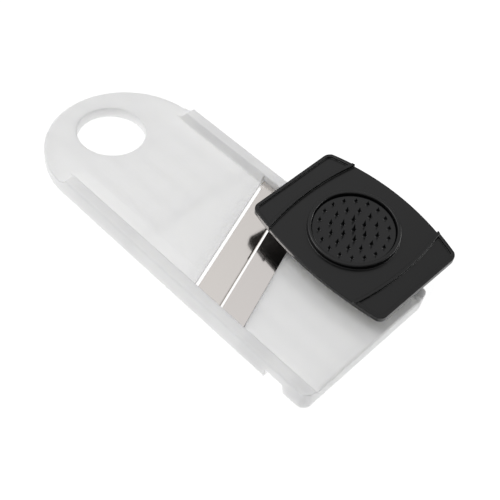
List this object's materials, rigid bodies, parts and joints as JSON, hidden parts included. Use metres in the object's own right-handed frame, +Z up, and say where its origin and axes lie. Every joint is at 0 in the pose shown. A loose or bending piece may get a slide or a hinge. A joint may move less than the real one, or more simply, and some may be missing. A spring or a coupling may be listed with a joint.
{
  "type": "mandoline slicer",
  "caption": "Flat hand-held vegetable slicer: railed deck with a hanging hole, slanted steel blade, tilting throat plate set by a dial, and a spiked food holder.",
  "frame": {"origin": "centre of the hanging hole, on the base plane that the slicer stands on", "axes": "+X from the handle to the far end, +Y across the deck to the holder's side, +Z up out of the hanging hole"},
  "size_m": [0.25, 0.1317, 0.0348],
  "materials": {
    "deck_plastic": "satin moulded, slightly milky",
    "blade_steel": "polished with fine grinding lines",
    "throat_steel": "bright rolled",
    "bar_steel": "rolled",
    "rod_steel": "drawn",
    "screw_steel": "turned",
    "carrier_plastic": "satin moulded",
    "cam_plastic": "satin moulded",
    "dial_plastic": "satin moulded",
    "holder_plastic": "satin, finely textured",
    "spike_plastic": "glossy moulded"
  },
  "bodies": {
    "deck": {"body": "deck_plastic", "blade": "blade_steel", "blade_bar": "bar_steel", "blade_screws": "screw_steel", "hinge_rod": "rod_steel", "cam_set_screw": "screw_steel"},
    "throat": {"throat_plate": "throat_steel", "throat_carrier": "carrier_plastic"},
    "cam": {"cam_rod": "cam_plastic", "thickness_dial": "dial_plastic", "dial_screw": "screw_steel"},
    "holder": {"holder_plate": "holder_plastic", "spike_disc": "spike_plastic", "holder_knob": "holder_plastic", "knob_cap": "holder_plastic", "knob_screw": "screw_steel"}
  },
  "joints": [
    {"name": "cam_turn", "type": "hinge", "parent": "deck", "child": "cam", "pos_m": [0.12356, -0.00205, 0.00505], "axis": [0.342, -0.9397, 0], "range_deg": [0, 60]},
    {"name": "throat_tilt", "type": "hinge", "parent": "deck", "child": "throat", "pos_m": [0.11473, -0.00527, 0.004], "axis": [0.342, -0.9397, 0], "range_deg": [0, 6.54]},
    {"name": "holder_lift", "type": "slide", "parent": "deck", "child": "holder", "axis": [0, 0, 1], "range_m": [0, 0.08]}
  ],
  "couplings": [
    {"joint": "cam_turn", "follows": "throat_tilt", "ratio": 9.174}
  ]
}
